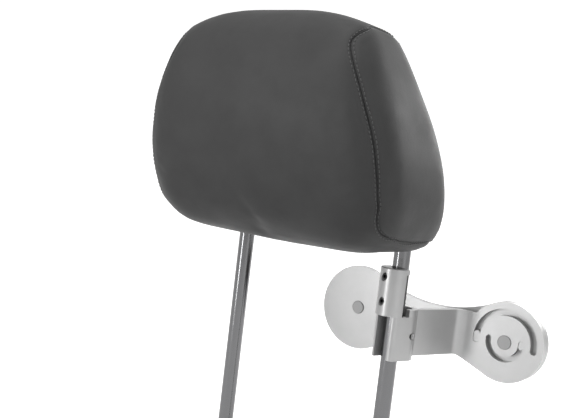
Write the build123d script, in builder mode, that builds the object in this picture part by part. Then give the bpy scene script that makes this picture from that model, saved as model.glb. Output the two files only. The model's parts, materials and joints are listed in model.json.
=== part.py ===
from build123d import *
import math
import os

os.makedirs("parts", exist_ok=True)

# Millimetres. Origin midway between the two posts at the height of the seat's top surface.
# +X towards the post that carries the clamp, -Y towards the sitter, +Z up the posts.

# ---- posts
POST_SPACING = 164.0
POST_R = 7.0
POST_LOW = -150.0
POST_STRAIGHT_TOP = 104.0
POST_BEND_R = 240.0
POST_BEND_DEG = 22.0
POST_TIP = 24.0
POST_END_CHAMFER = 2.0
NOTCH_Z = (-130.0, -105.0, -80.0, -55.0, -30.0)
NOTCH_DEPTH = 1.6
NOTCH_HEIGHT = 4.0
NOTCH_RAMP = 3.0

# ---- frame inside the cushion
TUBE_R = 6.0
TUBE_Y = -21.9
TUBE_Z = 205.0
STRIP_Y = -4.5
STRIP_Z = 150.0
STRIP_HEIGHT = 24.0
STRIP_T = 3.0
ARM_PLATE_T = 2.0
ARM_PLATE_HALF = 58.0
RIVET_X = 40.0
RIVET_R = 2.5
RIVET_HEAD_R = 5.0
RIVET_HEAD_T = 1.5

# ---- cushion: height, half width, front y, back y, front corner radius, back corner radius
CUSHION = (
    (110.5, 92.0, -81.0, 24.0, 26.0, 34.0),
    (118.5, 105.0, -93.0, 27.0, 30.0, 38.0),
    (129.0, 115.0, -103.0, 26.0, 34.0, 42.0),
    (159.5, 120.6, -114.4, 17.0, 36.0, 44.0),
    (195.0, 116.5, -122.0, 0.0, 34.0, 38.0),
    (233.5, 104.5, -125.5, -22.5, 30.0, 30.0),
    (263.0, 92.0, -120.0, -37.5, 26.0, 26.0),
    (277.5, 80.5, -110.5, -42.8, 24.0, 24.0),
    (286.0, 54.0, -101.5, -52.8, 20.0, 20.0),
    (289.0, 32.0, -91.0, -65.0, 11.0, 11.0),
)
COVER_T = 2.5
SEAM_GAP = 0.3
POST_HOLE_GAP = 0.3
SIDE_SEAM = ((140.0, 121.0), (107.0, 121.0), (109.5, 132.0), (110.8, 157.0), (109.0, 182.0),
             (101.0, 215.0), (92.6, 235.0), (83.0, 256.0), (80.5, 265.0), (82.0, 274.0),
             (140.0, 274.0))
BACK_SEAM = ((50.0, 126.0), (14.0, 126.0), (6.0, 160.0), (-12.0, 195.0), (-34.0, 233.0),
             (-52.0, 262.0), (-70.0, 294.0), (50.0, 294.0))

# ---- clamp, in a frame on the right post's axis turned about Z
CLAMP_TURN = -18.5
BODY_R = 12.2
CAVITY_R = 7.7
UPPER_SHIFT = -5.2
UPPER_Z0 = 56.0
UPPER_Z1 = 95.5
UPPER_LEG_END = -3.2
FINGER_Z = 91.0
FINGER_END = -0.4
LOWER_SHIFT = 8.7
LOWER_Z0 = 19.5
LOWER_LEG_END = -11.0
LEG_FILLET = 4.0
RAISED_Z = 62.0
RAISED_Y = 5.35
EDGE = 0.6

SCREW_R = 3.0
SCREW_HOLE_R = 3.05
SCREW_LEN = 7.7
SOCKET_AF = 3.0
SOCKET_DEPTH = 3.5
MOUTH_R = 4.0
TIP_R = 2.2
TIP_LEN = 1.0
UPPER_SCREW_Z = (88.0, 67.6)
LOWER_SCREW_Z = 40.0
LOWER_SCREW_DEG = 45.2

SLEEVE_IN_R = 7.05
SLEEVE_OUT_R = 7.65
SLEEVE_Z0 = 57.0
SLEEVE_Z1 = 91.0
SLEEVE_SLIT = 2.5

# ---- swing arms and their stack along Y
PLATE_T = 5.0
BAR_FACE = 9.5
BAR_Z0 = 23.0
BAR_Z1 = 62.0
BAR_START = 12.0
BAR_BEND_R = 10.0
BAR_ROOT_FILLET = 3.0
ARM_Y = 62.0
ELBOW_DX = 72.9
ELBOW_Z = 42.3
ELBOW_R = 34.0
FLARE_X = 30.7
WASHER_T = 1.0
WASHER_R = 11.5
REAR_Y = ARM_Y + PLATE_T + WASHER_T
ARM_LEN = 147.9
END_R = 39.0
WAIST_R = 123.0
WAIST_DX = 4.4
WAIST_DZ = 141.2

OUTER_SLOT_R = 25.4
OUTER_SLOT_W = 5.8
OUTER_SLOT_DEG = (-12.0, 192.0)
INNER_SLOT_R = 14.4
INNER_SLOT_W = 4.8
INNER_SLOT_DEG = (165.0, 375.0)
OUTER_KEY_DEG = (168.5, 191.5)
INNER_KEY_DEG = (-14.0, 14.0)
KEY_CLEAR = 0.2
KEY_RECESS = 0.6

PIN_R = 4.0
PIN_BORE_R = 4.05
HEAD_R = 6.0
HEAD_T = 1.0
SPRING_T = 1.5
SPRING_R = 9.0
NUT_AF = 13.0
NUT_T = 8.0
PIN_PROUD = 1.0

MOUNT_R = 30.0
MOUNT_T = 8.0
MOUNT_POCKET_R = 9.5
MOUNT_POCKET = 6.0
END_SPRING_T = 1.0
END_NUT_T = 4.0
BOLT_DX = 38.1
BOLT_DZ = 30.0
BOLT_R = 2.0

RIGHT_X = POST_SPACING / 2
ELBOW_X = RIGHT_X + ELBOW_DX
END_X = ELBOW_X - ARM_LEN
TURN = math.radians(CLAMP_TURN)


def clamp_plane(z):
    """Plane on the right post's axis, x across the clamp's mouth and y away from the sitter."""
    return Plane(origin=(RIGHT_X, 0, z), x_dir=(math.cos(TURN), math.sin(TURN), 0), z_dir=(0, 0, 1))


def screw_plane(distance, height, degrees):
    """Plane square to a set screw, with z pointing outwards from the post's axis."""
    angle = TURN + math.radians(degrees)
    out = Vector(math.cos(angle), math.sin(angle), 0)
    return Plane(origin=Vector(RIGHT_X, 0, height) + out * distance, x_dir=(0, 0, 1), z_dir=out)


def front_plane(y):
    """Plane at one depth, x along +X and y along +Z; a positive extrusion runs towards +Y."""
    return Plane(origin=(0, y, 0), x_dir=(-1, 0, 0), z_dir=(0, 1, 0))


def on_front(x, z):
    """Coordinates on front_plane of a point given by its X and Z."""
    return (-x, z)


def sector(centre_x, centre_z, radius, width, degrees):
    """Round-ended band between two angles seen from the sitter, for a sketch on front_plane."""
    inner = radius - width / 2
    outer = radius + width / 2
    cap = math.asin(width / 2 / radius)
    first = math.radians(degrees[0]) + cap
    last = math.radians(degrees[1]) - cap
    middle = (first + last) / 2

    def at(r, a):
        return on_front(centre_x + r * math.cos(a), centre_z + r * math.sin(a))

    with BuildSketch() as band:
        with BuildLine():
            ThreePointArc(at(outer, first), at(outer, middle), at(outer, last))
            ThreePointArc(at(outer, last), at(radius, last + cap), at(inner, last))
            ThreePointArc(at(inner, last), at(inner, middle), at(inner, first))
            ThreePointArc(at(inner, first), at(radius, first - cap), at(outer, first))
        make_face()
    return band.sketch


def cushion_solid(inset):
    """The cushion's outside, drawn in by an inset on every side."""
    with BuildPart() as body:
        for index, (z, half, front, back, r_front, r_back) in enumerate(CUSHION):
            lift = 0
            if index == 0:
                lift = inset
            if index == len(CUSHION) - 1:
                lift = -inset
            with BuildSketch(Plane.XY.offset(z + lift)) as outline:
                with Locations((0, (front + back) / 2)):
                    Rectangle(2 * (half - inset), back - front - 2 * inset)
                fillet(outline.vertices().group_by(Axis.Y)[0], r_front - inset)
                fillet(outline.vertices().group_by(Axis.Y)[-1], r_back - inset)
        loft()
    return body.part


def side_region(side, inset):
    """Prism that holds one side panel, between its seams with the front and the underside."""
    with BuildPart() as region:
        with BuildSketch(front_plane(-200)):
            Polygon(*[on_front(side * x, z) for x, z in SIDE_SEAM], align=None)
            if inset > 0:
                offset(amount=-inset)
        extrude(amount=300)
    return region.part


def back_region(inset):
    """Prism that holds the back panel."""
    with BuildPart() as region:
        with BuildSketch(Plane.YZ.offset(-150)):
            Polygon(*BACK_SEAM, align=None)
            if inset > 0:
                offset(amount=-inset)
        extrude(amount=300)
    return region.part


def post_solid(x, radius):
    """One post, straight through the seat and bent forward inside the cushion."""
    with BuildPart() as post:
        with BuildLine(Plane.YZ.offset(x)) as path:
            shaft = Line((0, POST_LOW), (0, POST_STRAIGHT_TOP))
            bend = JernArc(shaft @ 1, shaft % 1, POST_BEND_R, POST_BEND_DEG)
            Line(bend @ 1, (bend @ 1) + (bend % 1) * POST_TIP)
        with BuildSketch(Plane(origin=(x, 0, POST_LOW), z_dir=(0, 0, 1))):
            Circle(radius)
        sweep(path=path.line)
    return post.part


# ======== posts ========
with BuildPart() as right_post:
    add(post_solid(RIGHT_X, POST_R))
    chamfer(right_post.edges().group_by(Axis.Z)[0], POST_END_CHAMFER)

with BuildPart() as left_post:
    add(post_solid(-RIGHT_X, POST_R))
    chamfer(left_post.edges().group_by(Axis.Z)[0], POST_END_CHAMFER)
    # height notches, flat below and ramped above
    with BuildSketch(Plane(origin=(-RIGHT_X, POST_R, 0), x_dir=(1, 0, 0), z_dir=(0, -1, 0))):
        for z in NOTCH_Z:
            Polygon((-POST_R - 1, z), (-POST_R + NOTCH_DEPTH, z),
                    (-POST_R + NOTCH_DEPTH, z + NOTCH_HEIGHT),
                    (-POST_R - 1, z + NOTCH_HEIGHT + NOTCH_RAMP), align=None)
    extrude(amount=2 * POST_R, mode=Mode.SUBTRACT)

# ======== frame inside the cushion ========
LEAN = math.degrees(math.atan2(STRIP_Y - TUBE_Y, TUBE_Z - STRIP_Z))

with BuildPart() as upper_cross_tube:
    with BuildSketch(Plane.YZ.offset(-RIGHT_X)):
        with Locations((TUBE_Y, TUBE_Z)):
            Circle(TUBE_R)
            Circle(TUBE_R - 1.5, mode=Mode.SUBTRACT)
    extrude(amount=POST_SPACING)
    add(left_post.part, mode=Mode.SUBTRACT)
    add(right_post.part, mode=Mode.SUBTRACT)

# plane of the armature plate's front face, touching the tube and the strip
lean_dir = Vector(0, -math.sin(math.radians(LEAN)), math.cos(math.radians(LEAN)))
lean_out = Vector(0, -math.cos(math.radians(LEAN)), -math.sin(math.radians(LEAN)))
strip_centre = Vector(0, STRIP_Y, STRIP_Z) + lean_out * (TUBE_R - STRIP_T / 2)

with BuildPart() as lower_cross_plate:
    with BuildSketch(Plane(origin=strip_centre, x_dir=(1, 0, 0), z_dir=lean_out)):
        Rectangle(POST_SPACING, STRIP_HEIGHT)
        with Locations((-RIVET_X, 0), (RIVET_X, 0)):
            Circle(RIVET_R, mode=Mode.SUBTRACT)
    extrude(amount=STRIP_T / 2, both=True)
    add(left_post.part, mode=Mode.SUBTRACT)
    add(right_post.part, mode=Mode.SUBTRACT)

with BuildPart() as armature_plate:
    plate_back = Vector(0, STRIP_Y, STRIP_Z) + lean_out * TUBE_R
    top = (Vector(0, TUBE_Y, TUBE_Z) - Vector(0, STRIP_Y, STRIP_Z)).length
    with BuildSketch(Plane(origin=plate_back, x_dir=(1, 0, 0), z_dir=lean_out)):
        with Locations((0, (top - 18) / 2)):
            Rectangle(2 * ARM_PLATE_HALF, top + 18)
        with Locations((-RIVET_X, 0), (RIVET_X, 0)):
            Circle(RIVET_R, mode=Mode.SUBTRACT)
    extrude(amount=ARM_PLATE_T)
    # hook rolled over the upper tube
    with BuildSketch(Plane.YZ.offset(-ARM_PLATE_HALF)):
        with Locations((TUBE_Y, TUBE_Z)):
            Circle(TUBE_R + ARM_PLATE_T)
            Circle(TUBE_R, mode=Mode.SUBTRACT)
        with Locations(Location((TUBE_Y, TUBE_Z), LEAN)):
            Rectangle(40, 20, align=(Align.CENTER, Align.MAX), mode=Mode.SUBTRACT)
    extrude(amount=2 * ARM_PLATE_HALF)

with BuildPart() as armature_rivets:
    for x in (-RIVET_X, RIVET_X):
        front_face = plate_back + Vector(x, 0, 0) + lean_out * ARM_PLATE_T
        back_face = plate_back + Vector(x, 0, 0) - lean_out * STRIP_T
        with BuildSketch(Plane(origin=front_face, z_dir=lean_out)):
            Circle(RIVET_HEAD_R)
        extrude(amount=RIVET_HEAD_T)
        with BuildSketch(Plane(origin=back_face, z_dir=lean_out)):
            Circle(RIVET_R)
        extrude(amount=STRIP_T + ARM_PLATE_T)
        with BuildSketch(Plane(origin=back_face, z_dir=lean_out)):
            Circle(RIVET_HEAD_R)
        extrude(amount=-RIVET_HEAD_T)

# ======== cushion ========
outer_skin = cushion_solid(0)
inner_skin = cushion_solid(COVER_T)
hole_left = post_solid(-RIGHT_X, POST_R + POST_HOLE_GAP)
hole_right = post_solid(RIGHT_X, POST_R + POST_HOLE_GAP)

with BuildPart() as cover_front_panel:
    add(outer_skin)
    add(inner_skin, mode=Mode.SUBTRACT)
    add(side_region(-1, 0), mode=Mode.SUBTRACT)
    add(side_region(1, 0), mode=Mode.SUBTRACT)
    add(back_region(0), mode=Mode.SUBTRACT)
    add(hole_left, mode=Mode.SUBTRACT)
    add(hole_right, mode=Mode.SUBTRACT)

with BuildPart() as cover_left_side:
    add(outer_skin)
    add(inner_skin, mode=Mode.SUBTRACT)
    add(back_region(0), mode=Mode.SUBTRACT)
    add(side_region(-1, SEAM_GAP), mode=Mode.INTERSECT)

with BuildPart() as cover_right_side:
    add(outer_skin)
    add(inner_skin, mode=Mode.SUBTRACT)
    add(back_region(0), mode=Mode.SUBTRACT)
    add(side_region(1, SEAM_GAP), mode=Mode.INTERSECT)

with BuildPart() as cover_back_panel:
    add(outer_skin)
    add(inner_skin, mode=Mode.SUBTRACT)
    add(back_region(SEAM_GAP), mode=Mode.INTERSECT)

with BuildPart() as foam_core:
    add(cushion_solid(COVER_T + SEAM_GAP))
    add(left_post.part, mode=Mode.SUBTRACT)
    add(right_post.part, mode=Mode.SUBTRACT)
    with BuildSketch(Plane.YZ.offset(-RIGHT_X)):
        with Locations((TUBE_Y, TUBE_Z)):
            Circle(TUBE_R)
    extrude(amount=POST_SPACING, mode=Mode.SUBTRACT)
    add(lower_cross_plate.part, mode=Mode.SUBTRACT)
    add(armature_plate.part, mode=Mode.SUBTRACT)
    add(armature_rivets.part, mode=Mode.SUBTRACT)

# ======== clamp on the right post ========
with BuildPart() as post_sleeve:
    with BuildSketch(clamp_plane(SLEEVE_Z0)):
        Circle(SLEEVE_OUT_R)
        Circle(SLEEVE_IN_R, mode=Mode.SUBTRACT)
        Rectangle(SLEEVE_SLIT, 20, align=(Align.CENTER, Align.MIN), mode=Mode.SUBTRACT)
    extrude(amount=SLEEVE_Z1 - SLEEVE_Z0)

with BuildPart() as clamp_body:
    # upper hook, open away from the sitter
    with BuildSketch(clamp_plane(UPPER_Z0)):
        with Locations((0, UPPER_SHIFT)):
            Circle(BODY_R)
            Rectangle(2 * BODY_R, UPPER_LEG_END - UPPER_SHIFT, align=(Align.CENTER, Align.MIN))
        with Locations((0, UPPER_LEG_END)):
            Rectangle(2 * BODY_R, 2 * BODY_R, align=(Align.CENTER, Align.MIN), mode=Mode.SUBTRACT)
    extrude(amount=UPPER_Z1 - UPPER_Z0)
    # finger that reaches further round the post at the top
    with BuildSketch(clamp_plane(FINGER_Z)):
        with Locations((0, UPPER_SHIFT)):
            Rectangle(2 * BODY_R, FINGER_END - UPPER_SHIFT, align=(Align.CENTER, Align.MIN))
    extrude(amount=UPPER_Z1 - FINGER_Z)
    chamfer(clamp_body.faces().sort_by(Axis.Z)[-1].edges(), EDGE)
    with BuildSketch(clamp_plane(UPPER_Z0)):
        Circle(CAVITY_R)
        Rectangle(2 * CAVITY_R, 20, align=(Align.CENTER, Align.MIN))
    extrude(amount=UPPER_Z1 - UPPER_Z0, mode=Mode.SUBTRACT)
    # lower hook, open towards the sitter, with a raised heel behind the post
    with BuildSketch(clamp_plane(LOWER_Z0)) as lower_plan:
        with Locations((0, LOWER_LEG_END)):
            Rectangle(2 * BODY_R, LOWER_SHIFT - LOWER_LEG_END, align=(Align.CENTER, Align.MIN))
        fillet(lower_plan.vertices().group_by(Axis.Y)[0], LEG_FILLET)
        with Locations((0, LOWER_SHIFT)):
            Circle(BODY_R)
            Circle(CAVITY_R, mode=Mode.SUBTRACT)
            Rectangle(2 * CAVITY_R, 40, align=(Align.CENTER, Align.MAX), mode=Mode.SUBTRACT)
    extrude(amount=UPPER_Z0 - LOWER_Z0)
    with BuildSketch(clamp_plane(UPPER_Z0)):
        with Locations((0, LOWER_SHIFT)):
            Circle(BODY_R)
            Circle(CAVITY_R, mode=Mode.SUBTRACT)
            Rectangle(2 * CAVITY_R, 40, align=(Align.CENTER, Align.MAX), mode=Mode.SUBTRACT)
        with Locations((0, RAISED_Y)):
            Rectangle(40, 40, align=(Align.CENTER, Align.MAX), mode=Mode.SUBTRACT)
    extrude(amount=RAISED_Z - UPPER_Z0)
    # set screw holes, two square to the upper hook and one through the lower hook's corner
    for z in UPPER_SCREW_Z:
        with BuildSketch(screw_plane(CAVITY_R - 2, z, -90)):
            Circle(SCREW_HOLE_R)
        extrude(amount=BODY_R, mode=Mode.SUBTRACT)
        with BuildSketch(screw_plane(BODY_R - UPPER_SHIFT, z, -90)) as mouth:
            Circle(MOUTH_R)
        extrude(amount=-1, taper=43, mode=Mode.SUBTRACT)
    with BuildSketch(screw_plane(CAVITY_R, LOWER_SCREW_Z, LOWER_SCREW_DEG)):
        Circle(SCREW_HOLE_R)
    extrude(amount=BODY_R, mode=Mode.SUBTRACT)

with BuildPart() as clamp_set_screws:
    screw_seats = [(CAVITY_R + TIP_LEN, z, -90) for z in UPPER_SCREW_Z]
    screw_seats.append((SLEEVE_IN_R + TIP_LEN, LOWER_SCREW_Z, LOWER_SCREW_DEG))
    for distance, z, degrees in screw_seats:
        with BuildSketch(screw_plane(distance, z, degrees)):
            Circle(SCREW_R)
        extrude(amount=SCREW_LEN)
        with BuildSketch(screw_plane(distance + SCREW_LEN, z, degrees)):
            RegularPolygon(SOCKET_AF / 2, 6, major_radius=False)
        extrude(amount=-SOCKET_DEPTH, mode=Mode.SUBTRACT)

with BuildPart() as screw_tips:
    for distance, z, degrees in screw_seats:
        with BuildSketch(screw_plane(distance - TIP_LEN, z, degrees)):
            Circle(TIP_R)
        extrude(amount=TIP_LEN)

# ======== front arm: bar, bend and slotted disc ========
face_dir = Vector(math.cos(TURN), math.sin(TURN), 0)
run_dir = Vector(-math.sin(TURN), math.cos(TURN), 0)
post_axis = Vector(RIGHT_X, 0, 0)


def bar_point(across, along):
    """Point beside the post, across from its axis and along the bar."""
    return post_axis + face_dir * across + run_dir * along


corner_run = (ARM_Y - bar_point(BAR_FACE, 0).Y) / run_dir.Y
corner = bar_point(BAR_FACE, corner_run)
tangent_len = BAR_BEND_R * math.tan(math.radians(90 + CLAMP_TURN) / 2)
bend_start = corner - run_dir * tangent_len
bend_end = corner + Vector(tangent_len, 0, 0)
bend_centre = bend_end - Vector(0, BAR_BEND_R, 0)
half_turn = math.radians(90 + (90 + CLAMP_TURN) / 2)
bend_mid = Vector(math.cos(half_turn), math.sin(half_turn), 0)
far_x = ELBOW_X + ELBOW_R + 1

with BuildPart() as front_arm:
    with BuildSketch() as plan:
        with BuildLine():
            Line(bar_point(BAR_FACE, BAR_START), bend_start)
            ThreePointArc(bend_start, bend_centre + bend_mid * BAR_BEND_R, bend_end)
            Line(bend_end, (far_x, ARM_Y))
            Line((far_x, ARM_Y), (far_x, ARM_Y + PLATE_T))
            Line((far_x, ARM_Y + PLATE_T), bend_end + Vector(0, PLATE_T, 0))
            ThreePointArc(bend_end + Vector(0, PLATE_T, 0),
                          bend_centre + bend_mid * (BAR_BEND_R + PLATE_T),
                          bend_start - face_dir * PLATE_T)
            Line(bend_start - face_dir * PLATE_T, bar_point(BAR_FACE - PLATE_T, BAR_START))
            Line(bar_point(BAR_FACE - PLATE_T, BAR_START), bar_point(BAR_FACE, BAR_START))
        make_face()
        with Locations(bar_point(0, LOWER_SHIFT)):
            Circle(BODY_R)
        root = plan.vertices().sort_by_distance(bar_point(BAR_FACE, LOWER_SHIFT + 8))[0]
        fillet(root, BAR_ROOT_FILLET)
        with Locations(bar_point(0, LOWER_SHIFT)):
            Circle(BODY_R, mode=Mode.SUBTRACT)
    extrude(amount=BAR_Z1 + ELBOW_R)
    # outline seen from the sitter
    with BuildSketch(front_plane(-30)):
        drop = ELBOW_Z - BAR_Z0
        reach = math.hypot(ELBOW_DX - FLARE_X, drop)
        slope = math.atan2(drop, ELBOW_DX - FLARE_X) - math.asin(ELBOW_R / reach)
        tangent = math.sqrt(reach ** 2 - ELBOW_R ** 2)
        touch_x = FLARE_X + tangent * math.cos(slope)
        touch_z = BAR_Z0 + tangent * math.sin(slope)
        top_dx = math.sqrt(ELBOW_R ** 2 - (BAR_Z1 - ELBOW_Z) ** 2)
        Polygon(on_front(RIGHT_X - 40, BAR_Z0), on_front(RIGHT_X + FLARE_X, BAR_Z0),
                on_front(RIGHT_X + touch_x, touch_z), on_front(ELBOW_X, ELBOW_Z),
                on_front(ELBOW_X - top_dx, BAR_Z1), on_front(RIGHT_X - 40, BAR_Z1), align=None)
        with Locations(on_front(ELBOW_X, ELBOW_Z)):
            Circle(ELBOW_R)
    extrude(amount=110, mode=Mode.INTERSECT)
    with BuildSketch(front_plane(ARM_Y)):
        with Locations(on_front(ELBOW_X, ELBOW_Z)):
            Circle(PIN_BORE_R)
        add(sector(ELBOW_X, ELBOW_Z, OUTER_SLOT_R, OUTER_SLOT_W, OUTER_SLOT_DEG))
        add(sector(ELBOW_X, ELBOW_Z, INNER_SLOT_R, INNER_SLOT_W, INNER_SLOT_DEG))
    extrude(amount=PLATE_T, mode=Mode.SUBTRACT)

# ======== elbow stack ========
with BuildPart() as elbow_pivot_pin:
    with BuildSketch(front_plane(ARM_Y - HEAD_T)):
        with Locations(on_front(ELBOW_X, ELBOW_Z)):
            Circle(HEAD_R)
    extrude(amount=HEAD_T)
    chamfer(elbow_pivot_pin.edges().group_by(Axis.Y)[0], HEAD_T * 0.4)
    with BuildSketch(front_plane(ARM_Y)):
        with Locations(on_front(ELBOW_X, ELBOW_Z)):
            Circle(PIN_R)
    extrude(amount=REAR_Y + PLATE_T + SPRING_T + NUT_T + PIN_PROUD - ARM_Y)


def ring(x, z, y, thickness, outer, inner):
    """Flat ring square to Y."""
    with BuildPart() as washer:
        with BuildSketch(front_plane(y)):
            with Locations(on_front(x, z)):
                Circle(outer)
                Circle(inner, mode=Mode.SUBTRACT)
        extrude(amount=thickness)
    return washer.part


def hex_nut(x, z, y, thickness):
    """Hexagon nut square to Y."""
    with BuildPart() as nut:
        with BuildSketch(front_plane(y)):
            with Locations(on_front(x, z)):
                RegularPolygon(NUT_AF / 2, 6, major_radius=False)
                Circle(PIN_R, mode=Mode.SUBTRACT)
        extrude(amount=thickness)
    return nut.part


with BuildPart() as elbow_friction_washer:
    add(ring(ELBOW_X, ELBOW_Z, ARM_Y + PLATE_T, WASHER_T, WASHER_R, PIN_BORE_R))

with BuildPart() as elbow_spring_washer:
    add(ring(ELBOW_X, ELBOW_Z, REAR_Y + PLATE_T, SPRING_T, SPRING_R, PIN_BORE_R))

with BuildPart() as elbow_lock_nut:
    add(hex_nut(ELBOW_X, ELBOW_Z, REAR_Y + PLATE_T + SPRING_T, NUT_T))

with BuildPart() as outer_stop_key:
    with BuildSketch(front_plane(ARM_Y + KEY_RECESS)):
        add(sector(ELBOW_X, ELBOW_Z, OUTER_SLOT_R, OUTER_SLOT_W - 2 * KEY_CLEAR, OUTER_KEY_DEG))
    extrude(amount=REAR_Y - ARM_Y - KEY_RECESS)

with BuildPart() as inner_stop_key:
    with BuildSketch(front_plane(ARM_Y + KEY_RECESS)):
        add(sector(ELBOW_X, ELBOW_Z, INNER_SLOT_R, INNER_SLOT_W - 2 * KEY_CLEAR, INNER_KEY_DEG))
    extrude(amount=REAR_Y - ARM_Y - KEY_RECESS)

# ======== rear arm ========
with BuildPart() as rear_arm:
    with BuildSketch(front_plane(REAR_Y)):
        waist_x = RIGHT_X + WAIST_DX
        waist_z = WAIST_DZ - WAIST_R
        for centre_x, radius in ((ELBOW_X, ELBOW_R), (END_X, END_R)):
            with Locations(on_front(centre_x, ELBOW_Z)):
                Circle(radius)
        end_share = WAIST_R / math.hypot(END_X - waist_x, WAIST_DZ)
        right_x = waist_x + (ELBOW_X - waist_x) * WAIST_R / math.hypot(ELBOW_X - waist_x, WAIST_DZ)
        right_z = WAIST_DZ * (1 - WAIST_R / math.hypot(ELBOW_X - waist_x, WAIST_DZ))
        left_x = waist_x + (END_X - waist_x) * end_share
        left_z = WAIST_DZ * (1 - end_share)
        with BuildLine():
            ThreePointArc(on_front(left_x, ELBOW_Z + left_z), on_front(waist_x, ELBOW_Z + waist_z),
                          on_front(right_x, ELBOW_Z + right_z))
            Line(on_front(right_x, ELBOW_Z + right_z), on_front(right_x, ELBOW_Z - right_z))
            ThreePointArc(on_front(right_x, ELBOW_Z - right_z), on_front(waist_x, ELBOW_Z - waist_z),
                          on_front(left_x, ELBOW_Z - left_z))
            Line(on_front(left_x, ELBOW_Z - left_z), on_front(left_x, ELBOW_Z + left_z))
        make_face()
        with Locations(on_front(ELBOW_X, ELBOW_Z), on_front(END_X, ELBOW_Z)):
            Circle(PIN_BORE_R, mode=Mode.SUBTRACT)
    extrude(amount=PLATE_T)
    chamfer(rear_arm.faces().sort_by(Axis.Y)[0].outer_wire().edges(), EDGE / 2)

# ======== end pivot and mounting plate ========
END_PLATE_Y = REAR_Y + PLATE_T + WASHER_T
POCKET_Y = END_PLATE_Y + MOUNT_T - MOUNT_POCKET

with BuildPart() as end_pivot_pin:
    with BuildSketch(front_plane(REAR_Y - HEAD_T)):
        with Locations(on_front(END_X, ELBOW_Z)):
            Circle(HEAD_R)
    extrude(amount=HEAD_T)
    chamfer(end_pivot_pin.edges().group_by(Axis.Y)[0], HEAD_T * 0.4)
    with BuildSketch(front_plane(REAR_Y)):
        with Locations(on_front(END_X, ELBOW_Z)):
            Circle(PIN_R)
    extrude(amount=POCKET_Y + END_SPRING_T + END_NUT_T + 0.5 - REAR_Y)

with BuildPart() as end_friction_washer:
    add(ring(END_X, ELBOW_Z, REAR_Y + PLATE_T, WASHER_T, WASHER_R, PIN_BORE_R))

with BuildPart() as end_spring_washer:
    add(ring(END_X, ELBOW_Z, POCKET_Y, END_SPRING_T, SPRING_R - 1, PIN_BORE_R))

with BuildPart() as end_lock_nut:
    add(hex_nut(END_X, ELBOW_Z, POCKET_Y + END_SPRING_T, END_NUT_T))

with BuildPart() as mounting_plate:
    with BuildSketch(front_plane(END_PLATE_Y)):
        with Locations(on_front(END_X, ELBOW_Z)):
            Circle(MOUNT_R)
            Circle(PIN_BORE_R, mode=Mode.SUBTRACT)
            with GridLocations(BOLT_DX, BOLT_DZ, 2, 2):
                Circle(BOLT_R, mode=Mode.SUBTRACT)
    extrude(amount=MOUNT_T)
    with BuildSketch(front_plane(POCKET_Y)):
        with Locations(on_front(END_X, ELBOW_Z)):
            Circle(MOUNT_POCKET_R)
    extrude(amount=MOUNT_POCKET, mode=Mode.SUBTRACT)

# ======== labels and files ========
PIECES = {
    "left_post": left_post, "right_post": right_post, "upper_cross_tube": upper_cross_tube,
    "lower_cross_plate": lower_cross_plate, "armature_plate": armature_plate,
    "armature_rivets": armature_rivets, "foam_core": foam_core,
    "cover_front_panel": cover_front_panel, "cover_left_side": cover_left_side,
    "cover_right_side": cover_right_side, "cover_back_panel": cover_back_panel,
    "post_sleeve": post_sleeve, "clamp_body": clamp_body, "clamp_set_screws": clamp_set_screws,
    "screw_tips": screw_tips, "front_arm": front_arm, "elbow_pivot_pin": elbow_pivot_pin,
    "elbow_friction_washer": elbow_friction_washer, "elbow_spring_washer": elbow_spring_washer,
    "elbow_lock_nut": elbow_lock_nut, "outer_stop_key": outer_stop_key,
    "inner_stop_key": inner_stop_key, "rear_arm": rear_arm, "end_pivot_pin": end_pivot_pin,
    "end_friction_washer": end_friction_washer, "end_spring_washer": end_spring_washer,
    "end_lock_nut": end_lock_nut, "mounting_plate": mounting_plate,
}

for name, piece in PIECES.items():
    piece.part.label = name
    export_step(piece.part, "parts/" + name + ".step")
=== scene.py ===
import json
import math
import bmesh
import bpy
import numpy as np
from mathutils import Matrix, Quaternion, Vector
from mathutils.bvhtree import BVHTree
from mathutils.kdtree import KDTree


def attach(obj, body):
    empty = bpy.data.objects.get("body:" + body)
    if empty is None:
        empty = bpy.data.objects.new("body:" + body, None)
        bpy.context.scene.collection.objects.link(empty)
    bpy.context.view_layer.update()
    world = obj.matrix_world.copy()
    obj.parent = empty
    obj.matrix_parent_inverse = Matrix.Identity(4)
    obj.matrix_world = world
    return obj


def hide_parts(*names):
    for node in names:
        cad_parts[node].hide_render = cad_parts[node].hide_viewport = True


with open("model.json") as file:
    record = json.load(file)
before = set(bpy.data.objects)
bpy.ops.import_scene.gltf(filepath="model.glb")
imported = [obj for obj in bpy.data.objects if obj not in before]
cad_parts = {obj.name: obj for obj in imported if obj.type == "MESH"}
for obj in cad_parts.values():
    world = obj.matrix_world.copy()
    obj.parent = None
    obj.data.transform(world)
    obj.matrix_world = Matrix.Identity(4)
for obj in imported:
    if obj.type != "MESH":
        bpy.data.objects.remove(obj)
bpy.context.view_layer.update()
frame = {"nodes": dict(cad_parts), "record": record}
nodes = frame["nodes"]
MM = 0.001

# ---------------------------------------------------------------- camera
# Place in metres, turn as a quaternion (w, x, y, z), and lens and sensor in millimetres.
# These numbers are the output of a scratch fit of the view to the photo (see report.md).
CAMERA_AT = (0.42339655, -0.64689968, 0.17770226)
CAMERA_TURN = (0.67887156, 0.66252894, 0.17214125, 0.26562418)
CAMERA_LENS = 56.16
SENSOR_WIDTH = 36
CLIP_START = 0.02

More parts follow.
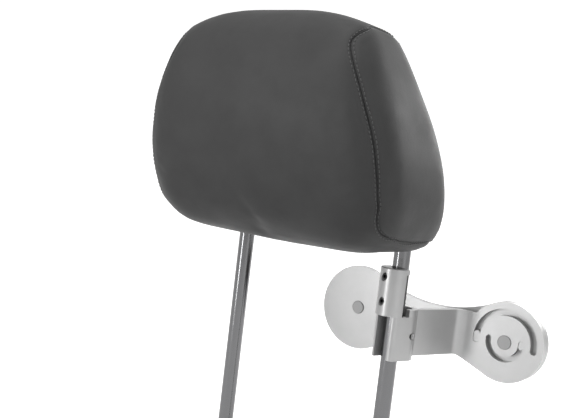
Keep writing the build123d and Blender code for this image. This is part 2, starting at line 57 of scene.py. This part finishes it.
# ---------------------------------------------------------------- cushion, in millimetres
# height, half width, front y, back y, front corner radius, back corner radius
# Rounded by hand from a scratch fit of the outline to the photo (see report.md).
SECTIONS = (
    (108.4, 80.0, -70.0, 12.0, 16.0, 22.0),
    (111.0, 94.0, -82.5, 20.0, 24.0, 31.0),
    (117.0, 103.5, -92.5, 25.0, 29.0, 36.0),
    (129.0, 114.0, -102.0, 25.5, 33.0, 41.0),
    (144.0, 118.5, -108.5, 21.5, 35.0, 43.0),
    (159.5, 120.2, -113.8, 17.0, 36.0, 44.0),
    (178.0, 119.6, -118.6, 8.7, 35.0, 42.0),
    (195.0, 116.3, -121.6, 0.0, 34.0, 38.0),
    (214.0, 111.8, -124.8, -11.4, 32.0, 34.0),
    (233.5, 104.4, -125.2, -22.6, 30.0, 30.0),
    (251.0, 98.0, -122.6, -32.0, 27.0, 28.0),
    (263.0, 92.2, -119.2, -37.6, 26.0, 26.0),
    (271.5, 86.8, -115.0, -40.8, 25.0, 25.0),
    (277.5, 80.0, -110.2, -42.8, 24.0, 24.0),
    (283.0, 66.0, -105.5, -48.5, 20.0, 20.0),
    (287.4, 50.0, -100.0, -54.5, 18.0, 18.0),
    (289.8, 24.0, -90.0, -66.0, 9.0, 9.0),
)
GROW = 1.1
CORNER_POINTS = 14
EDGE_POINTS = 22
LEVELS = 90


def mirrored(points):
    """The same points on the other side of the middle plane."""
    return tuple((-x, y, z) for x, y, z in points)


# Seam round the side panel on the +x side. Most of its points come from a scratch script that
# cast rays through places read off the photo onto the cushion (see report.md).
SIDE_SEAM = (
    (83, -44, 272), (81, -66, 277), (79, -85, 277), (82.4, -99.9, 273), (81.4, -109.5, 267.8),
    (80.3, -115.8, 261.7), (82.9, -117.2, 255.8), (87.7, -118.5, 245.2), (92.6, -118.5, 234.9),
    (101.1, -116.9, 214.6), (106.7, -111.7, 194.4), (110.2, -106.3, 170.4), (110.4, -99.5, 149.2),
    (108.6, -94, 135), (108.8, -87, 128), (109.2, -78.7, 125.4), (109.5, -66.5, 123.5),
    (107.5, -46.5, 121.5), (106.2, -10.2, 120.2), (101, 14, 121),
)
# Seam round the back panel: up the +x side, over the top, down the other side, and underneath.
BACK_SIDE = (
    (101, 14, 121), (107, 14, 140), (108, 8, 160), (104, -2, 185), (98, -12, 208), (92, -26, 235),
    (83, -44, 272), (60, -56, 284), (25, -60, 287),
)
BACK_TOP = ((0, -61, 288),)
BACK_UNDER = ((-70, 24, 120), (0, 26, 119), (70, 24, 120))
BACK_SEAM = BACK_SIDE + BACK_TOP + mirrored(BACK_SIDE[::-1]) + BACK_UNDER + BACK_SIDE[:1]
SEAM_STEP = 1 * MM
GROOVE_DEPTH = 1.5 * MM
GROOVE_WIDTH = 1.2 * MM
# radius of the near-black tube that paints the shade in the seam grooves
GAP_SHADE_R = 0.45 * MM
PUFF_WIDTH = 9 * MM
STITCH_PITCH = 3.4 * MM
STITCH_LENGTH = 2.5 * MM
STITCH_R = 0.42 * MM
STITCH_OFFSET = 2.6 * MM
STITCH_SIDES = 6
# place along a stitch and its width there, both as parts of the full size
STITCH_SHAPE = ((-1, 0.25), (-0.82, 0.8), (-0.4, 1), (0.4, 1), (0.82, 0.8), (1, 0.25))
ROLL_HEIGHT = 0.35 * MM
ROLL_AT = 5 * MM
ROLL_WIDTH = 3.0 * MM
CURVE_STEPS = 24
VOXEL = 0.004
CLOTH_FRAMES = 20
PRESSURE = 4.0
PUFF_LIMIT = 0.0028
HOLD_FLOOR = 0.06


def linked(name, data):
    """A new object in the scene that shows this data."""
    made = bpy.data.objects.new(name, data)
    bpy.context.collection.objects.link(made)
    return made


def shade_smooth(data):
    """Smooth shading on every face."""
    for polygon in data.polygons:
        polygon.use_smooth = True


def vertex_rows(obj, value="co"):
    """One value of every vertex, as rows of three numbers."""
    flat = np.empty(len(obj.data.vertices) * 3)
    obj.data.vertices.foreach_get(value, flat)
    return flat.reshape(-1, 3)


def outline(half, front, back, r_front, r_back):
    """Points round one level of the cushion, the same number on every level."""
    points = []
    corners = (((half - r_front), front + r_front, r_front, -90),
               ((half - r_back), back - r_back, r_back, 0),
               (-(half - r_back), back - r_back, r_back, 90),
               (-(half - r_front), front + r_front, r_front, 180))
    for index, (cx, cy, radius, first) in enumerate(corners):
        for k in range(CORNER_POINTS):
            a = math.radians(first + 90 * k / (CORNER_POINTS - 1))
            points.append((cx + radius * math.cos(a), cy + radius * math.sin(a)))
        nx, ny, n_radius, n_first = corners[(index + 1) % 4]
        a = math.radians(n_first)
        end = (nx + n_radius * math.cos(a), ny + n_radius * math.sin(a))
        start = points[-1]
        for k in range(1, EDGE_POINTS):
            t = k / EDGE_POINTS
            points.append((start[0] + (end[0] - start[0]) * t, start[1] + (end[1] - start[1]) * t))
    return points


def cushion_mesh():
    """Closed cushion body drawn from its levels."""
    table = np.array(SECTIONS)
    table[:, 1] += GROW
    table[:, 2] -= GROW
    table[:, 3] += GROW
    span = np.linspace(0, len(SECTIONS) - 1, LEVELS)
    rows = np.stack([np.interp(span, np.arange(len(SECTIONS)), table[:, c]) for c in range(6)], 1)
    for _ in range(3):
        rows[1:-1] = (rows[:-2] + 2 * rows[1:-1] + rows[2:]) / 4
    mesh = bmesh.new()
    rings = []
    for z, half, front, back, r_front, r_back in rows:
        rings.append([mesh.verts.new((x * MM, y * MM, z * MM))
                      for x, y in outline(half, front, back, r_front, r_back)])
    count = len(rings[0])
    for low, high in zip(rings, rings[1:]):
        for k in range(count):
            n = (k + 1) % count
            mesh.faces.new((low[k], low[n], high[n], high[k]))
    mesh.faces.new(list(reversed(rings[0])))
    mesh.faces.new(rings[-1])
    bmesh.ops.triangulate(mesh, faces=[f for f in mesh.faces if len(f.verts) > 4])
    data = bpy.data.meshes.new("cushion_leather")
    mesh.to_mesh(data)
    mesh.free()
    return linked("cushion_leather", data)


def use_modifier(obj, kind, **settings):
    """Adds one modifier, sets it and applies it."""
    bpy.context.view_layer.objects.active = obj
    modifier = obj.modifiers.new(kind.lower(), kind)
    for key, value in settings.items():
        setattr(modifier, key, value)
    bpy.ops.object.modifier_apply(modifier=modifier.name)


def catmull(points, step):
    """Smooth polyline through points, with samples about one step apart, in metres."""
    pts = [Vector(p) * MM for p in points]
    pts = [pts[0] * 2 - pts[1]] + pts + [pts[-1] * 2 - pts[-2]]
    raw = []
    for k in range(1, len(pts) - 2):
        p0, p1, p2, p3 = pts[k - 1:k + 3]
        for j in range(CURVE_STEPS):
            t = j / CURVE_STEPS
            raw.append(0.5 * ((2 * p1) + (p2 - p0) * t + (2 * p0 - 5 * p1 + 4 * p2 - p3) * t * t
                              + (3 * p1 - p0 - 3 * p2 + p3) * t * t * t))
    raw.append(pts[-2])
    return resample(raw, step)


def resample(raw, step):
    """The same polyline with even spacing."""
    lengths = np.cumsum([0] + [(b - a).length for a, b in zip(raw, raw[1:])])
    count = max(2, int(lengths[-1] / step))
    array = np.array([tuple(p) for p in raw])
    at = np.linspace(0, lengths[-1], count)
    return [Vector([np.interp(s, lengths, array[:, c]) for c in range(3)]) for s in at]


def smoothed(line, rounds):
    """The same polyline with its small waves evened out."""
    for _ in range(rounds):
        line[1:-1] = [(a + b * 2 + c) / 4 for a, b, c in zip(line, line[1:], line[2:])]
    return line


def tree_of(obj):
    """Search tree over a mesh's faces."""
    mesh = bmesh.new()
    mesh.from_mesh(obj.data)
    tree = BVHTree.FromBMesh(mesh)
    mesh.free()
    return tree


def on_surface(tree, points, step):
    """A polyline dropped onto the surface, evened out, with its normals."""
    dropped = [tree.find_nearest(p)[0] for p in points]
    dropped = resample(smoothed(dropped, 30), step)
    out = []
    for p in dropped:
        hit, normal, _, _ = tree.find_nearest(p)
        out.append((hit, normal))
    return out


def distances(obj, lines):
    """Each vertex's place and its distance to the nearest seam."""
    verts = vertex_rows(obj)
    points = [p for line in lines for p, _ in line]
    tree = KDTree(len(points))
    for index, p in enumerate(points):
        tree.insert(p, index)
    tree.balance()
    return verts, np.array([tree.find(v)[2] for v in verts])


leather_body = cushion_mesh()
use_modifier(leather_body, "REMESH", mode="VOXEL", voxel_size=VOXEL, use_smooth_shade=True)
use_modifier(leather_body, "SMOOTH", factor=0.5, iterations=6)

seam_paths = [catmull(seam, SEAM_STEP) for seam in (SIDE_SEAM, mirrored(SIDE_SEAM), BACK_SEAM)]


def seams_on(obj):
    """Every seam, laid on this object's surface."""
    tree = tree_of(obj)
    return [on_surface(tree, path, SEAM_STEP) for path in seam_paths]


def puff(obj):
    """Inflates the panels between their seams, held at the seams."""
    _, away = distances(obj, seams_on(obj))
    group = obj.vertex_groups.new(name="seams")
    for index, value in enumerate(away):
        group.add([index], float(max(HOLD_FLOOR, 1 - value / PUFF_WIDTH)), "REPLACE")
    before = vertex_rows(obj)
    cloth = obj.modifiers.new("cloth", "CLOTH")
    cloth.settings.quality = 6
    cloth.settings.use_pressure = True
    cloth.settings.uniform_pressure_force = PRESSURE
    cloth.settings.tension_stiffness = 60
    cloth.settings.compression_stiffness = 60
    cloth.settings.bending_stiffness = 4
    cloth.settings.effector_weights.gravity = 0
    cloth.settings.vertex_group_mass = "seams"
    cloth.collision_settings.use_self_collision = False
    cloth.point_cache.frame_start = 1
    cloth.point_cache.frame_end = CLOTH_FRAMES
    scene = bpy.context.scene
    for number in range(1, CLOTH_FRAMES + 1):
        scene.frame_set(number)
    graph = bpy.context.evaluated_depsgraph_get()
    after = vertex_rows(obj.evaluated_get(graph))
    obj.modifiers.remove(cloth)
    scene.frame_set(1)
    move = after - before
    size = np.linalg.norm(move, axis=1, keepdims=True)
    move *= np.minimum(1, PUFF_LIMIT / np.maximum(size, 1e-9))
    obj.data.vertices.foreach_set("co", (before + move).ravel())
    obj.vertex_groups.clear()
    obj.data.update()


puff(leather_body)
use_modifier(leather_body, "SMOOTH", factor=0.5, iterations=2)
use_modifier(leather_body, "SUBSURF", levels=2, render_levels=2)


def carve(obj):
    """Sinks the seams into the leather, with a soft roll on each side."""
    co, away = distances(obj, seams_on(obj))
    normals = vertex_rows(obj, "normal")
    depth = -GROOVE_DEPTH * np.exp(-(away / GROOVE_WIDTH) ** 2)
    depth += ROLL_HEIGHT * np.exp(-((away - ROLL_AT) / ROLL_WIDTH) ** 2)
    co = co + normals * depth[:, None]
    obj.data.vertices.foreach_set("co", co.ravel())
    obj.data.update()


carve(leather_body)
shade_smooth(leather_body.data)


def stitch_rows(obj):
    """Short stitches on both sides of each seam, in one mesh."""
    tree = tree_of(obj)
    ring = [(math.cos(a), math.sin(a)) for a in np.linspace(0, 2 * math.pi, STITCH_SIDES + 1)[:-1]]
    verts = []
    faces = []
    for path in seam_paths:
        line = on_surface(tree, path, SEAM_STEP)
        for side in (-1, 1):
            row = []
            for k in range(4, len(line) - 4):
                p, n = line[k]
                tangent = (line[k + 4][0] - line[k - 4][0]).normalized()
                across = tangent.cross(n).normalized()
                row.append(tree.find_nearest(p + across * side * STITCH_OFFSET)[0])
            row = resample(smoothed(row, 40), STITCH_PITCH)
            for a, b in zip(row, row[1:]):
                centre, normal, _, _ = tree.find_nearest((a + b) / 2)
                centre = centre + normal * STITCH_R * 0.35
                along = (b - a).normalized()
                beside = normal.cross(along).normalized()
                first = len(verts)
                for at, wide in STITCH_SHAPE:
                    for c, d in ring:
                        verts.append(centre + along * at * STITCH_LENGTH / 2
                                     + (beside * c + normal * d) * STITCH_R * wide)
                last = first + (len(STITCH_SHAPE) - 1) * STITCH_SIDES
                for low in range(first, last, STITCH_SIDES):
                    high = low + STITCH_SIDES
                    for k in range(STITCH_SIDES):
                        n = (k + 1) % STITCH_SIDES
                        faces.append((low + k, low + n, high + n, high + k))
                faces.append(tuple(first + k for k in reversed(range(STITCH_SIDES))))
                faces.append(tuple(last + k for k in range(STITCH_SIDES)))
    data = bpy.data.meshes.new("seam_stitches")
    data.from_pydata([tuple(v) for v in verts], [], faces)
    shade_smooth(data)
    return linked("seam_stitches", data)


stitches = stitch_rows(leather_body)


def seam_gap_shade(obj):
    """Painted shade: a near-black tube sunk along every seam, standing in for the shadow in the
    groove where two panels meet.
    """
    tree = tree_of(obj)
    curve = bpy.data.curves.new("seam_gap_shade", "CURVE")
    curve.dimensions = "3D"
    curve.bevel_depth = GAP_SHADE_R
    curve.bevel_resolution = 1
    for path in seam_paths:
        line = on_surface(tree, path, 2 * SEAM_STEP)
        spline = curve.splines.new("POLY")
        spline.points.add(len(line) - 1)
        for point, (p, n) in zip(spline.points, line):
            point.co = (*(p - n * GAP_SHADE_R * 0.3), 1)
    return linked("seam_gap_shade", curve)


# Painted shade along the seams: a near-black tube in each groove.
gap_shade = seam_gap_shade(leather_body)


# ---------------------------------------------------------------- materials
def material(name, colour, roughness, metallic=0.0, **extra):
    """A material with its shader's values set directly."""
    mat = bpy.data.materials.new(name)
    mat.use_nodes = True
    shader = mat.node_tree.nodes["Principled BSDF"]
    shader.inputs["Base Color"].default_value = (*colour, 1)
    shader.inputs["Roughness"].default_value = roughness
    shader.inputs["Metallic"].default_value = metallic
    for key, value in extra.items():
        shader.inputs[key.replace("_", " ")].default_value = value
    return mat


def add_node(mat, kind, **values):
    """A shader node with its input values set by name."""
    node = mat.node_tree.nodes.new(kind)
    for key, value in values.items():
        key = key.replace("_", " ")
        if key in node.inputs:
            node.inputs[key].default_value = value
    return node


def bump(mat, source, strength, distance):
    """Adds relief from one node's output; several of them add up."""
    links = mat.node_tree.links
    shader = mat.node_tree.nodes["Principled BSDF"]
    node = add_node(mat, "ShaderNodeBump", Strength=strength, Distance=distance)
    links.new(source, node.inputs["Height"])
    if shader.inputs["Normal"].links:
        links.new(shader.inputs["Normal"].links[0].from_socket, node.inputs["Normal"])
    links.new(node.outputs["Normal"], shader.inputs["Normal"])


def mottle(mat, scale, low, high, socket="Base Color"):
    """Varies one shader value between two others with soft noise."""
    links = mat.node_tree.links
    shader = mat.node_tree.nodes["Principled BSDF"]
    place = mat.node_tree.nodes.new("ShaderNodeTexCoord")
    noise = add_node(mat, "ShaderNodeTexNoise", Scale=scale, Detail=4.0, Roughness=0.6)
    links.new(place.outputs["Object"], noise.inputs["Vector"])
    ramp = mat.node_tree.nodes.new("ShaderNodeValToRGB")
    ramp.color_ramp.elements[0].position = 0.3
    ramp.color_ramp.elements[1].position = 0.7
    ramp.color_ramp.elements[0].color = low
    ramp.color_ramp.elements[1].color = high
    links.new(noise.outputs["Fac"], ramp.inputs["Fac"])
    links.new(ramp.outputs["Color"], shader.inputs[socket])


def grey(value):
    """An opaque grey."""
    return (value, value, value, 1)


def grain(mat, scale, strength, distance):
    """Cell-shaped relief."""
    place = mat.node_tree.nodes.new("ShaderNodeTexCoord")
    cells = mat.node_tree.nodes.new("ShaderNodeTexVoronoi")
    cells.feature = "DISTANCE_TO_EDGE"
    cells.inputs["Scale"].default_value = scale
    mat.node_tree.links.new(place.outputs["Object"], cells.inputs["Vector"])
    bump(mat, cells.outputs["Distance"], strength, distance)


def fine_noise(mat, scale, strength, distance):
    """Soft small relief."""
    place = mat.node_tree.nodes.new("ShaderNodeTexCoord")
    noise = add_node(mat, "ShaderNodeTexNoise", Scale=scale, Detail=3.0)
    mat.node_tree.links.new(place.outputs["Object"], noise.inputs["Vector"])
    bump(mat, noise.outputs["Fac"], strength, distance)


leather = material("leather", (0.030, 0.030, 0.030), 0.6, Sheen_Weight=0.03,
                   Specular_IOR_Level=0.34)
mottle(leather, 60.0, (0.030, 0.030, 0.030, 1), (0.034, 0.034, 0.034, 1))
mottle(leather, 35.0, grey(0.56), grey(0.66), "Roughness")
grain(leather, 900.0, 0.25, 0.0002)
fine_noise(leather, 260.0, 0.15, 0.0004)

thread = material("thread", (0.055, 0.055, 0.055), 0.6, Sheen_Weight=0.1)
fine_noise(thread, 4000.0, 0.4, 0.0001)

# Near-black painted shade for the tube along the seam grooves.
shadow_leather = material("shadow_leather", (0.008, 0.008, 0.008), 0.9)

chrome = material("chrome", (0.13, 0.13, 0.133), 0.16, 1.0)
mottle(chrome, 90.0, grey(0.14), grey(0.19), "Roughness")

bracket = material("bracket", (0.42, 0.42, 0.42), 0.36, 0.45)
mottle(bracket, 45.0, (0.41, 0.41, 0.41, 1), (0.44, 0.44, 0.44, 1))
fine_noise(bracket, 1500.0, 0.12, 0.0001)

bracket_pin = material("bracket_pin", (0.20, 0.20, 0.20), 0.38, 0.6)
fine_noise(bracket_pin, 1800.0, 0.1, 0.0001)
black_steel = material("black_steel", (0.02, 0.02, 0.02), 0.4, 0.7)
steel = material("steel", (0.05, 0.05, 0.05), 0.5, 0.3)
zinc = material("zinc", (0.55, 0.55, 0.56), 0.3, 1.0)
mottle(zinc, 300.0, grey(0.25), grey(0.38), "Roughness")
nylon = material("nylon", (0.03, 0.03, 0.03), 0.55)
foam = material("foam", (0.75, 0.72, 0.6), 0.9)

LOOKS = {"chrome": chrome, "steel": steel, "bracket": bracket, "bracket_pin": bracket_pin,
         "black_steel": black_steel, "zinc": zinc, "nylon": nylon, "foam": foam, "leather": leather}
for part in frame["record"]["subparts"]:
    piece = nodes[part["node"]]
    piece.data.materials.clear()
    piece.data.materials.append(LOOKS[part["material_slot"]])

leather_body.data.materials.append(leather)
stitches.data.materials.append(thread)
gap_shade.data.materials.append(shadow_leather)
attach(leather_body, "headrest")
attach(stitches, "headrest")
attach(gap_shade, "headrest")
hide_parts("cover_front_panel", "cover_left_side", "cover_right_side",
            "cover_back_panel", "foam_core")

# ---------------------------------------------------------------- stage, light and camera
AWAY = (-0.5857, 0.8081, 0)
FLOOR_Z = -0.1505
FLOOR_NEAR = -3.0
FLOOR_HALF = 5
COVE_AT = 2.2
COVE_R = 0.8
COVE_POINTS = 16
WALL_TOP = 4.0
FLOOR_GLOW = 0.6
SKY_LOW = (0.3, (0.10, 0.10, 0.10, 1))
SKY_HIGH = (0.52, (1, 1, 1, 1))
SKY_STRENGTH = 0.72


def backdrop():
    """Floor that curves up into a wall on the far side of the object."""
    profile = [(FLOOR_NEAR, 0.0)]
    for a in np.linspace(0, math.pi / 2, COVE_POINTS):
        profile.append((COVE_AT + COVE_R * math.sin(a), COVE_R - COVE_R * math.cos(a)))
    profile.append((COVE_AT + COVE_R, WALL_TOP))
    toward = Vector(AWAY).normalized()
    across = Vector((toward.y, -toward.x, 0))
    mesh = bmesh.new()
    strips = [[mesh.verts.new(toward * along + across * side + Vector((0, 0, FLOOR_Z + up)))
               for side in (-FLOOR_HALF, FLOOR_HALF)] for along, up in profile]
    for one, two in zip(strips, strips[1:]):
        mesh.faces.new((one[0], one[1], two[1], two[0]))
    data = bpy.data.meshes.new("floor")
    mesh.to_mesh(data)
    mesh.free()
    shade_smooth(data)
    return linked("floor", data)


def studio_world():
    """Even white light from above that falls to dark grey below."""
    world = bpy.data.worlds.new("studio")
    bpy.context.scene.world = world
    world.use_nodes = True
    sky = world.node_tree
    coordinates = sky.nodes.new("ShaderNodeTexCoord")
    split = sky.nodes.new("ShaderNodeSeparateXYZ")
    height = sky.nodes.new("ShaderNodeMapRange")
    height.inputs["From Min"].default_value = -1
    height.inputs["From Max"].default_value = 1
    shades = sky.nodes.new("ShaderNodeValToRGB")
    for element, (position, colour) in zip(shades.color_ramp.elements, (SKY_LOW, SKY_HIGH)):
        element.position = position
        element.color = colour
    sky.links.new(coordinates.outputs["Generated"], split.inputs["Vector"])
    sky.links.new(split.outputs["Z"], height.inputs["Value"])
    sky.links.new(height.outputs["Result"], shades.inputs["Fac"])
    sky.links.new(shades.outputs["Color"], sky.nodes["Background"].inputs["Color"])
    sky.nodes["Background"].inputs["Strength"].default_value = SKY_STRENGTH


floor = backdrop()
white = material("floor_white", (0.9, 0.9, 0.9), 0.8, Emission_Color=(1, 1, 1, 1),
                 Emission_Strength=FLOOR_GLOW)
floor.data.materials.append(white)
floor.visible_diffuse = False
studio_world()


def area(name, at, look_at, size, power):
    """Soft rectangular light."""
    data = bpy.data.lights.new(name, "AREA")
    data.shape = "RECTANGLE"
    data.size, data.size_y = size
    data.energy = power
    lamp = linked(name, data)
    lamp.location = at
    lamp.rotation_euler = (Vector(look_at) - Vector(at)).to_track_quat("-Z", "Y").to_euler()
    return lamp


area("overhead", (0.1, -0.5, 1.4), (0.05, 0, 0.1), (1.4, 1.4), 12)
area("right_side", (1.4, -0.5, 0.4), (0.15, 0, 0.05), (1.0, 1.0), 2.4)
strip = area("left_strip", (-0.45, -1.1, 0.0), (0.05, 0, 0.0), (0.12, 2.0), 16)
strip.visible_diffuse = False
area("back_rim", (0.3, 1.3, 0.6), (0.1, 0.03, 0.08), (1.2, 0.4), 9)

camera_data = bpy.data.cameras.new("camera")
camera_data.lens = CAMERA_LENS
camera_data.sensor_width = SENSOR_WIDTH
camera_data.dof.use_dof = False
camera_data.clip_start = CLIP_START
camera = linked("camera", camera_data)
camera.rotation_mode = "QUATERNION"
camera.location = CAMERA_AT
camera.rotation_quaternion = Quaternion(CAMERA_TURN)
bpy.context.scene.camera = camera
bpy.context.scene.view_settings.view_transform = "Standard"
